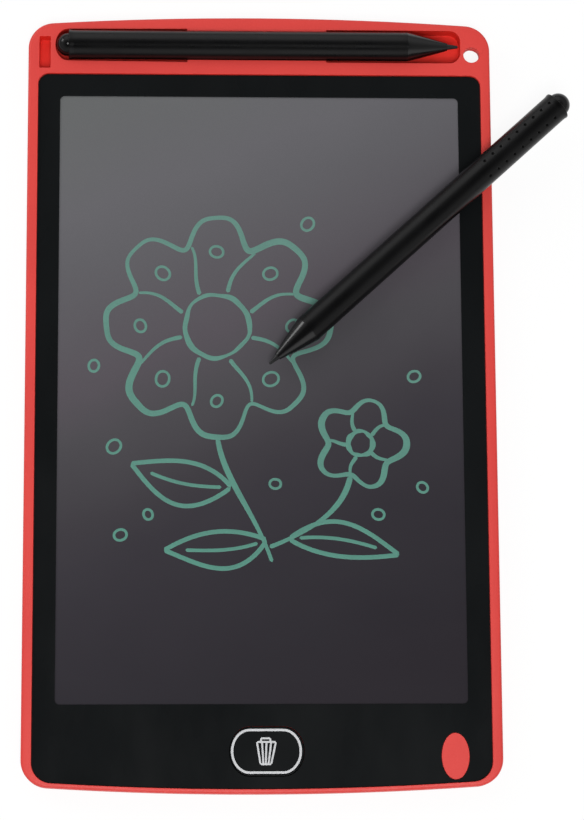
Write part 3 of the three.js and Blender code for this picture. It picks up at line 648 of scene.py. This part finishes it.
def roundCorners(points, radii, steps=4):
    # each corner becomes q(t) = (1 - t)^2 a + 2 t (1 - t) p + t^2 b, with a and b a radius from the
    # corner p, but not past 0.45 of its shorter side
    before = np.roll(points, 1, axis=0) - points
    after = np.roll(points, -1, axis=0) - points
    lengths = np.stack([np.linalg.norm(before, axis=1), np.linalg.norm(after, axis=1)])
    reach = np.minimum(radii, 0.45 * lengths.min(axis=0))
    start = points + before / lengths[0][:, None] * reach[:, None]
    end = points + after / lengths[1][:, None] * reach[:, None]
    t = np.linspace(0, 1, steps)[None, :, None]
    arcs = (1 - t) ** 2 * start[:, None] + 2 * t * (1 - t) * points[:, None] + t ** 2 * end[:, None]
    return arcs.reshape(-1, 2)


def dimpleDepth(angle, along, pen, pits):
    # sum over pits of depth (1 - (d / radius)^2)^steepness, d over the barrel to a pit's middle
    row = np.arange(len(pits["angles"]))
    place = np.arange(pits["count"])
    centreAngle = np.radians(pits["angles"])[:, None] + 0 * place
    step = place[None, :] + 0.5 * (row[:, None] % 2)
    centreAlong = pen["tailEnd"] - pits["first"] - pits["pitch"] * step
    turn = (angle[..., None] - centreAngle.reshape(-1) + np.pi) % (2 * np.pi) - np.pi
    distance = np.hypot(turn * pen["radius"], along[..., None] - centreAlong.reshape(-1))
    share = np.clip(1 - (distance / pits["radius"]) ** 2, 0, 1)
    return pits["depth"] * (share ** pits["steepness"]).sum(axis=-1)


def fullTurn(count):
    # angles 2 pi k / count
    return np.linspace(0, 2 * np.pi, count, endpoint=False)


def turned(radius, angle, height):
    # x = r cos a, y = r sin a, z = s
    return np.stack([radius * np.cos(angle), radius * np.sin(angle), height + 0 * angle], axis=-1)


def turnedSurface(profile, sides):
    # profile points (r, s), which start and end on the axis, turned round it
    return turned(profile[:, :1], fullTurn(sides)[None, :], profile[:, 1:])


def barrelSurface(pen, pits):
    # profile (r, s) turned round the axis, with r less the dimple depth on the shaft; the cone's
    # r = tip + (radius - tip) (1 - (1 - share)^swell)
    tailEnd, barrelStart, coneStart = pen["tailEnd"], pen["barrelStart"], pen["nibReach"]
    share = np.linspace(0, 1, 33)
    coneRadius = pen["coneTip"] + (pen["radius"] - pen["coneTip"]) * (1 - (1 - share) ** pen["swell"])
    cone = np.stack([coneRadius, coneStart + pen["coneLength"] * share], axis=1)
    gripStart = tailEnd - pits["first"] - (pits["count"] + 1) * pits["pitch"]
    gripEnd = tailEnd - pen["flareLength"] * pen["gripMargin"]
    grip = np.arange(gripStart, gripEnd, pits["rowStep"])
    plain = np.linspace(barrelStart, gripStart, 24)[1:-1]
    along = np.concatenate([plain, grip])
    shaft = np.stack([np.full_like(along, pen["radius"]), along], axis=1)
    flared = pen["radius"] + pen["flare"]
    bore = pen["radius"] - pen["wall"]
    nibBore = pen["nibRadius"] + pen["nibGap"]
    rim = np.array([  # radius, place along the axis, corner's rounding
        (pen["radius"], tailEnd - pen["flareLength"], 0.5 * mm),
        (flared, tailEnd - pen["flareLength"] / 3, 0.3 * mm),
        (flared, tailEnd, 0.14 * mm),
        (bore, tailEnd, 0.14 * mm),
        (bore, barrelStart, 0.1 * mm),
        (nibBore, barrelStart - pen["wall"], 0.1 * mm),
        (nibBore, coneStart, 0.04 * mm),
    ])
    profile = np.concatenate([cone, shaft, roundCorners(rim[:, :2], rim[:, 2])])
    angle = fullTurn(pen["sides"])[None, :] + 0 * profile[:, :1]
    row = np.arange(len(profile))[:, None]
    onShaft = (row >= len(cone)) & (row < len(cone) + len(shaft))
    pitted = onShaft * dimpleDepth(angle, profile[:, 1:] + 0 * angle, pen, pits)
    return turned(profile[:, :1] - pitted, angle, profile[:, 1:])


def nibSurface(pen):
    # r = R sin b, s = R (1 - cos b) up to b = 80 degrees, then a straight shank
    turn = np.radians(np.linspace(0, 80, 8))
    dome = pen["nibTip"] * np.stack([np.sin(turn), 1 - np.cos(turn)], axis=1)
    shankEnd = pen["nibReach"] + pen["nibShank"]
    shank = [(pen["nibRadius"], pen["nibReach"] - pen["nibGap"]), (pen["nibRadius"], shankEnd),
             (0, shankEnd)]
    return turnedSurface(np.concatenate([dome, shank]), pen["nibSides"])


def tailCapSurface(pen):
    # a plug inside the barrel, then a ball r = R cos b, s = centre + R sin b on the barrel's end
    tailEnd = pen["tailEnd"]
    plug = pen["radius"] - pen["wall"] - pen["plugGap"]
    low = math.asin((pen["ballSeat"] - pen["ballOffset"]) / pen["ballRadius"])
    climb = np.linspace(low, np.pi / 2, 40)
    height = tailEnd + pen["ballOffset"] + pen["ballRadius"] * np.sin(climb)
    ball = np.stack([pen["ballRadius"] * np.cos(climb), height], axis=1)
    ball[-1, 0] = 0
    seat = [(0, tailEnd - pen["plugDepth"]), (plug, tailEnd - pen["plugDepth"]),
            (plug, tailEnd + pen["ballSeat"])]
    return turnedSurface(np.concatenate([seat, ball]), pen["ballSides"])


def penAxes(heading, up):
    # upwards = up less its part along the heading, at unit length; side = heading x upwards
    heading = np.asarray(heading, float)
    upwards = np.asarray(up, float) - heading * np.dot(heading, up)
    upwards = upwards / np.linalg.norm(upwards)
    return upwards, np.cross(heading, upwards), heading


def laidAlong(points, tip, heading, up):
    # p = tip + z heading + x upwards + y side, so that angle 0 of a turned shape faces up
    upwards, side, heading = penAxes(heading, up)
    away = points[..., :1] * upwards + points[..., 1:2] * side + points[..., 2:] * heading
    return away + np.asarray(tip, float)


def finishBarrel(mesh, tip, heading, up, pen, pits):
    # a face's middle m is at s = (m - tip) . heading and a = atan2(m . side, m . upwards); the
    # cone's faces take the glossier black, those inside a dimple a duller black darkened as painted
    # shade
    upwards, side, heading = penAxes(heading, up)
    away = faceMiddles(mesh) - np.asarray(tip, float)
    along, across, rise = away @ heading, away @ side, away @ upwards
    outside = np.hypot(across, rise) > pen["radius"] - pen["skinShare"] * pen["wall"]
    pitted = dimpleDepth(np.arctan2(across, rise), along, pen, pits)
    paintFaces(mesh, "coneBlack", along < pen["barrelStart"])
    # dimple faces take a darker black: painted shade
    paintFaces(mesh, "pitShadeBlack", outside & (pitted > pits["shadeFrom"] * pits["depth"]))


def addStylus(which, tip, heading, up):
    pieces = [
        ("barrel", "barrel_grip", barrelSurface(stylus, dimples), "penBlack", "black_plastic", True),
        ("nib", "nib_point", nibSurface(stylus), "nibPlastic", "nib_plastic", False),
        ("tail_cap", "tail_ball", tailCapSurface(stylus), "ballBlack", "black_plastic", False),
    ]
    made = []
    for node, name, points, finish, slot, loopRows in pieces:
        laid = laidAlong(points, tip, heading, up)
        made.append(addPiece(f"{which}_{name}", [(laid, loopRows, True)], finish, which + "_stylus",
                             (f"{which}_{node}",)))
    finishBarrel(made[0].data, tip, heading, up, stylus, dimples)
    return made


looseLay = {
    "tip": (2.3 * mm, 8.8 * mm),
    "bearing": math.radians(42.3),
    "panelHalf": 66.1 * mm,  # where the barrel crosses the casing's inner edge, along x
    "seatGap": 0.3 * mm,
    "up": (-0.13, -0.29, 0.95),
}
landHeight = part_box("bezel_overlay")[0].z
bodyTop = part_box("front_frame")[1].z


def looseLine(lay, pen):
    # the barrel rises from the screen to the rim: tan(pitch) = rise / (reach to the rim - cone's end)
    rimReach = (lay["panelHalf"] - lay["tip"][0]) / math.cos(lay["bearing"])
    pitch = math.atan2(bodyTop - landHeight, rimReach - pen["barrelStart"])
    seat = landHeight + lay["seatGap"] + pen["radius"]
    heading = (math.cos(pitch) * math.cos(lay["bearing"]),
               math.cos(pitch) * math.sin(lay["bearing"]), math.sin(pitch))
    return (*lay["tip"], seat - pen["barrelStart"] * math.tan(pitch)), heading


barrelLow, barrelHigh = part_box("stowed_barrel")
stowedTip = (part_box("stowed_nib")[1].x,
             (barrelLow.y + barrelHigh.y) / 2, (barrelLow.z + barrelHigh.z) / 2)
pens = addStylus("stowed", stowedTip, (-1, 0, 0), (0, 0, -1))
pens += addStylus("loose", *looseLine(looseLay, stylus), looseLay["up"])
print("styluses turned")


# Lines drawn on the screen and printed on the button

drawing = {
    "bloom": {"centre": (-13 * mm, 21 * mm), "reach": 33 * mm, "petals": 8, "dip": 0.24, "notch": 4,
              "eye": 9.5 * mm, "seed": 0.4},
    "bud": {"centre": (29 * mm, -14 * mm), "reach": 13.5 * mm, "petals": 5, "dip": 0.3, "notch": 2.4,
            "eye": 3.6 * mm, "seed": 2.1},
    "lineHalf": 0.78 * mm,
    "fineHalf": 0.52 * mm,
    "height": 0.02 * mm,
    "lift": 0.003 * mm,
    "step": 0.0008 * mm,  # each stroke lies this much above the one before
    "pressSwing": (0.22, 0.12),  # how far a bloom line's width swings, slowly and fast
    "tremble": 0.03,  # of the reach
    "eyeTremble": 0.05,  # of the eye
    "eyeWidth": 0.85,  # of the line's width, for eyes and leaves
    "veinStart": 1.12,  # eye radii from the centre
    "veinBend": 0.1,  # radians
    "veinTaper": (1.25, 0.5),  # shares of the fine line's width: at the start, and lost on the way
    "stalkPress": (0.9, 0.2),  # mean and swing of a stalk's width
    "ringWidth": 0.75,  # of the fine line's width
    "ringTremble": 0.08,  # of the radius
    "petalRing": (0.68, 1.9, 0.3),  # share of the petal's reach, radius and its sway in mm
    "rings": [(-43, -15, 2.0), (-41, -41, 1.7), (34, -35, 1.6), (47, -27, 1.5), (-33, -35, 1.4),
              (-49, 9, 1.6), (14, 52, 1.9), (45, 6, 1.7), (4, -26, 1.5)],  # x, y, radius in mm
    "stalks": [((-12.8, -12.6), (-11, -25), (-2, -34), (3, -49)),
               ((25.9, -23.8), (24, -34), (14, -40), (2.2, -44.6))],  # control points in mm
    "leaves": [((-9, -27), (-38, -20), 6.5), ((8, -43), (40, -46), 5),
               ((1, -41), (-28, -47), 5.5)],  # root, tip and half width in mm
    "leafBow": 2.2,  # mm
    "midrib": slice(6, 56),  # the part drawn, of a leaf's 70 points
}


def wobble(t, size, seed):
    # size (sin(3 t + s) + 0.6 sin(5 t + 2 s) + 0.4 sin(9 t + 3 s)) / 2, the tremble of a hand
    waves = np.sin(3 * t + seed) + 0.6 * np.sin(5 * t + 2 * seed) + 0.4 * np.sin(9 * t + 3 * seed)
    return size * waves / 2


def ribbon(path, halfWidth, base, height, loop):
    # section (-1, 0), (-0.85, 1), (0.85, 1), (1, 0) times (half width, height), across the path;
    # near a free end the width is that of a half circle, sqrt(1 - (1 - d / w)^2), at least 0.02
    if loop:
        ahead = np.roll(path, -1, axis=0) - np.roll(path, 1, axis=0)
    else:
        ahead = np.gradient(path, axis=0)
    normal = np.stack([-ahead[:, 1], ahead[:, 0]], axis=1)
    normal = normal / np.linalg.norm(normal, axis=1)[:, None]
    width = np.broadcast_to(halfWidth, len(path)).astype(float)
    if not loop:
        step = np.linalg.norm(np.diff(path, axis=0), axis=1)
        run = np.concatenate([[0], np.cumsum(step)])
        inCap = np.clip(np.minimum(run, run[-1] - run) / width, 0, 1)
        width = width * np.sqrt(np.clip(1 - (1 - inCap) ** 2, 0.0004, 1))
    across = np.array([-1, -0.85, 0.85, 1])
    rise = np.array([0, 1, 1, 0])
    plan = path[:, None, :] + normal[:, None, :] * (width[:, None] * across[None, :])[..., None]
    level = np.broadcast_to(base + height * rise, plan.shape[:2])
    return np.concatenate([plan, level[..., None]], axis=-1)


def strokePart(path, halfWidth, base, height, loop=False):
    # an open stroke gets flat end sections squeezed to a point
    points = ribbon(path, halfWidth, base, height, loop)
    if not loop:
        ends = [np.repeat(points[row].mean(axis=0)[None, None], 4, axis=1) for row in (0, -1)]
        points = np.concatenate([ends[0], points, ends[1]])
    return points, loop, True


def around(centre, reach, angle):
    # centre + r (cos a, sin a)
    return np.array(centre) + np.stack([reach * np.cos(angle), reach * np.sin(angle)], axis=-1)


def bloomParts(flower, base, plan):
    # petal edge r = reach (1 - dip |sin(n a / 2)|^notch), with a vein at each notch and an eye
    centre, petals, seed = flower["centre"], flower["petals"], flower["seed"]
    t = fullTurn(60 * petals)
    dip = np.abs(np.sin(petals * t / 2)) ** flower["notch"]
    edge = flower["reach"] * (1 - flower["dip"] * dip)
    edge = edge + wobble(t, plan["tremble"] * flower["reach"], seed)
    eye = flower["eye"] + wobble(t, plan["eyeTremble"] * flower["eye"], seed + 1)
    slow, fast = plan["pressSwing"]
    press = plan["lineHalf"] * (1 + slow * np.sin(2 * t + seed) + fast * np.sin(7 * t + seed))
    parts = [strokePart(around(centre, reach, t), press * width, base, plan["height"], loop=True)
             for reach, width in ((edge, 1), (eye, plan["eyeWidth"]))]
    s = np.linspace(0, 1, 40)
    veinStart, veinEnd = flower["eye"] * plan["veinStart"], flower["reach"] * (1 - flower["dip"])
    thick, loss = plan["veinTaper"]
    for petal in range(petals):
        turn = 2 * np.pi * (petal + 0.5) / petals
        bend = turn + plan["veinBend"] * np.sin(np.pi * s + petal)
        vein = around(centre, veinStart + (veinEnd - veinStart) * s, bend)
        parts.append(strokePart(vein, plan["fineHalf"] * (thick - loss * s), base, plan["height"]))
    return parts


def ringPart(centre, radius, base, plan, seed):
    # r = radius (1 + tremble sin(2 a + s)), a small ring drawn by hand
    t = fullTurn(48)
    path = around(centre, radius * (1 + plan["ringTremble"] * np.sin(2 * t + seed)), t)
    return strokePart(path, plan["fineHalf"] * plan["ringWidth"], base, plan["height"], loop=True)


def stalkParts(base, plan):
    # stalks are cubic curves; a leaf's midrib bends by bow sin(pi s + 0.4 n), and its halves lie
    # half width sin(pi s^0.85) to either side
    parts = []
    t = np.linspace(0, 1, 80)[:, None]
    mean, swing = plan["stalkPress"]
    for number, points in enumerate(plan["stalks"]):
        a, b, c, d = np.array(points) * mm
        path = (1 - t) ** 3 * a + 3 * t * (1 - t) ** 2 * b + 3 * t ** 2 * (1 - t) * c + t ** 3 * d
        press = plan["lineHalf"] * (mean + swing * np.sin(5 * t[:, 0] + number))
        parts.append(strokePart(path, press, base, plan["height"]))
    s = np.linspace(0, 1, 70)
    for number, (root, tip, belly) in enumerate(plan["leaves"]):
        root, tip = np.array(root) * mm, np.array(tip) * mm
        side = np.array([-(tip - root)[1], (tip - root)[0]])
        side = side / np.linalg.norm(side)
        bow = plan["leafBow"] * mm * np.sin(np.pi * s + 0.4 * number)
        for share in (-1, 0, 1):
            arch = bow + share * belly * mm * np.sin(np.pi * s ** 0.85)
            path = root + (tip - root) * s[:, None] + side * arch[:, None]
            part = path if share else path[plan["midrib"]]
            width = plan["lineHalf"] * plan["eyeWidth"] if share else plan["fineHalf"]
            parts.append(strokePart(part, width, base, plan["height"]))
    return parts


def addDrawing(plan):
    base = landHeight + plan["lift"]
    bloom = plan["bloom"]
    parts = bloomParts(bloom, base, plan) + bloomParts(plan["bud"], base, plan)
    parts += stalkParts(base, plan)
    for number, (x, y, radius) in enumerate(plan["rings"]):
        parts.append(ringPart((x * mm, y * mm), radius * mm, base, plan, number))
    share, middleRadius, sway = plan["petalRing"]
    for petal in range(bloom["petals"]):
        centre = around(bloom["centre"], bloom["reach"] * share, 2 * np.pi * petal / bloom["petals"])
        radius = (middleRadius + sway * math.sin(3 * petal)) * mm
        parts.append(ringPart(centre, radius, base, plan, petal))
    for number, part in enumerate(parts):
        part[0][..., 2] += number * plan["step"]
    addPiece("drawn_lines", parts, "drawnTeal", "tablet")


addDrawing(drawing)
print("drawing made")

button = {
    "middle": (1.07 * mm, -103.5 * mm),
    "flatHalf": 4.8 * mm,
    "endReach": 5.03 * mm,  # from the flat's end to the middle of the outline's end, along x
    "halfHeight": 6.06 * mm,
    "lineHalf": 0.34 * mm,
    "height": 0.015 * mm,
    "lift": 0.003 * mm,
    "step": 0.0005 * mm,  # each bar of the icon lies this much above the one before
}
binMark = {  # places and sizes in mm
    "rimLeft": (-1.65, -100.85), "rimRight": (3.8, -100.85),
    "baseLeft": (-0.64, -107.2), "baseRight": (2.4, -107.2),
    "handleLeft": (-0.48, -99.82), "handleRight": (2.21, -99.82),
    "lineHalf": 0.27,
    "slats": (0.27, 0.5, 0.75),  # shares of the rim and of the base, from the left
}


def addButtonPrint(outline, icon):
    # outline: x = flatHalf + endReach cos t, y = halfHeight sin t, mirrored at the other end;
    # icon: straight bars between named corners
    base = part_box("erase_button")[1].z + outline["lift"]
    right = np.linspace(-np.pi / 2, np.pi / 2, 60)
    ends = [np.stack([sign * outline["flatHalf"] + outline["endReach"] * np.cos(t),
                      outline["halfHeight"] * np.sin(t)], axis=1)
            for sign, t in ((1, right), (-1, right + np.pi))]
    path = np.concatenate(ends) + np.array(outline["middle"])
    parts = [strokePart(path, outline["lineHalf"], base, outline["height"], loop=True)]
    corner = {name: np.array(place) * mm for name, place in icon.items() if isinstance(place, tuple)}
    bars = [("rimLeft", "rimRight"), ("baseLeft", "baseRight"), ("rimLeft", "baseLeft"),
            ("rimRight", "baseRight"), ("handleLeft", "handleRight")]
    lines = [(corner[a], corner[b]) for a, b in bars]
    for side in ("handleLeft", "handleRight"):
        lines.append((corner[side], np.array([corner[side][0], corner["rimLeft"][1]])))
    for share in icon["slats"]:
        top = corner["rimLeft"] + share * (corner["rimRight"] - corner["rimLeft"])
        foot = corner["baseLeft"] + share * (corner["baseRight"] - corner["baseLeft"])
        lines.append((top, foot))
    t = np.linspace(0, 1, 24)[:, None]
    for number, (a, b) in enumerate(lines):
        parts.append(strokePart(a + (b - a) * t, icon["lineHalf"] * mm,
                                base + number * outline["step"], outline["height"]))
    addPiece("button_print", parts, "printedWhite", "erase_key")


addButtonPrint(button, binMark)
print("button printed")


# Floor, world and lamps

studio = {
    "floorHalf": 6.0,
    "floorLevel": -0.02 * mm,
    "floorTones": (0.93, 0.95),
    "floorCloud": 0.4,
    "floorWhite": 0.9,  # share of plain white in what the camera sees of the floor
    "darkToward": (-0.03, -0.187, 0.982),  # towards the camera
    # degrees from that direction, light
    "sky": [(0, 0.05), (24, 0.07), (38, 0.38), (55, 0.68), (75, 0.6), (90, 0.36), (103, 0.36),
            (120, 0.95), (180, 0.95)],
    "lamps": [
        {"name": "keyLamp", "toward": (-0.73, 0.51, 0.43), "distance": 1.3, "size": 0.4, "power": 2.7},
        {"name": "headLamp", "toward": (-0.15, 0.8, 0.55), "distance": 1.5, "size": 1.2, "power": 3.2},
        {"name": "glintLamp", "toward": (-0.09, -0.05, 0.99), "distance": 1.3, "size": 0.14,
         "power": 3, "only": [piece for piece in pens if "tail" in piece.name]},
        {"name": "sheenLamp", "toward": (0.17, -0.187, 0.966), "distance": 1.3, "size": 0.42,
         "power": 0.6,
         "only": [piece for piece in pens if "stowed" in piece.name and "tail" not in piece.name]},
        {"name": "footLamp", "toward": (0.28, -0.86, 0.42), "distance": 1.4, "size": 1.1,
         "power": 1.9, "only": pens},
        {"name": "overLamp", "toward": (0, -0.42, 0.91), "distance": 2.2, "size": 0.9, "power": 32,
         "passes": pens},
    ],
}


def addFloor(look):
    # what the camera, mirrors and glass see is part plain white and part lit, so the shadow stays
    floor = Finish("paleFloor")
    rays = floor.add("ShaderNodeLightPath").socket.node.outputs
    seen = (Wire(floor, rays["Is Camera Ray"]) + Wire(floor, rays["Is Glossy Ray"])
            + Wire(floor, rays["Is Transmission Ray"]))
    factor = floor.spread(seen, 0, 1, 0, look["floorWhite"])
    low, high = look["floorTones"]
    tint = floor.mix(floor.noise(look["floorCloud"], detail=2), grey(low), grey(high))
    lit = floor.add("ShaderNodeBsdfDiffuse", inputs={"Color": tint})
    white = floor.add("ShaderNodeEmission", inputs={"Color": grey(1), "Strength": 1.0})
    upper = floor.add("ShaderNodeMixShader", inputs={0: factor, 1: lit, 2: white})
    clear = floor.add("ShaderNodeBsdfTransparent")
    facing = floor.add("ShaderNodeNewGeometry", output="Backfacing")
    both = floor.add("ShaderNodeMixShader", inputs={0: facing, 1: upper, 2: clear})
    floor.add("ShaderNodeOutputMaterial", inputs={"Surface": both})
    half, level = look["floorHalf"], look["floorLevel"]
    mesh = bpy.data.meshes.new("floor")
    corners = [(-half, -half, level), (half, -half, level), (half, half, level), (-half, half, level)]
    mesh.from_pydata(corners, [], [(0, 1, 2, 3)])
    mesh.materials.append(floor.holder)
    piece = placed("floor", mesh)


def addWorld(look):
    # light by the angle from one direction, a = arccos(direction . darkToward): dim there, pale all
    # round; the camera sees plain white instead
    world = bpy.data.worlds.new("studioWorld")
    bpy.context.scene.world = world
    sky = Finish("sky", world)
    direction = sky.add("ShaderNodeTexCoord", output="Generated")
    along = sky.add("ShaderNodeVectorMath", {"operation": "DOT_PRODUCT"},
                    {0: direction, 1: look["darkToward"]}, output="Value")
    angle = along.math("ARCCOSINE", along)
    stops = [(degrees / 180, grey(light)) for degrees, light in look["sky"]]
    ramp = sky.add("ShaderNodeValToRGB", {"stops": stops}, {0: angle / math.pi})
    glow = sky.add("ShaderNodeBackground", inputs={"Color": ramp, "Strength": 1.0})
    white = sky.add("ShaderNodeBackground", inputs={"Color": grey(1), "Strength": 1.0})
    seen = sky.add("ShaderNodeLightPath", output="Is Camera Ray")
    both = sky.add("ShaderNodeMixShader", inputs={0: seen, 1: glow, 2: white})
    sky.add("ShaderNodeOutputWorld", inputs={"Surface": both})


def addLamp(lamp):
    data = bpy.data.lights.new(lamp["name"], "AREA")
    data.shape = "SQUARE"
    data.size = lamp["size"]
    data.energy = lamp["power"]
    toward = Vector(lamp["toward"]).normalized()
    turn = toward.to_track_quat("Z", "Y")
    piece = placed(lamp["name"], data)
    piece.matrix_world = Matrix.Translation(toward * lamp["distance"]) @ turn.to_matrix().to_4x4()
    if "only" in lamp or "passes" in lamp:
        # a lamp that lights these pieces alone, or all but these, whose gloss would show it as a
        # white stripe
        chosen = bpy.data.collections.new(lamp["name"] + "Pieces")
        for other in lamp.get("only") or lamp["passes"]:
            chosen.objects.link(other)
        for entry in chosen.collection_objects:
            entry.light_linking.link_state = "INCLUDE" if "only" in lamp else "EXCLUDE"
        piece.light_linking.receiver_collection = chosen


addFloor(studio)
addWorld(studio)
for lamp in studio["lamps"]:
    addLamp(lamp)
bpy.context.scene.view_settings.view_transform = "Standard"
print("studio lit")


bpy.context.view_layer.update()
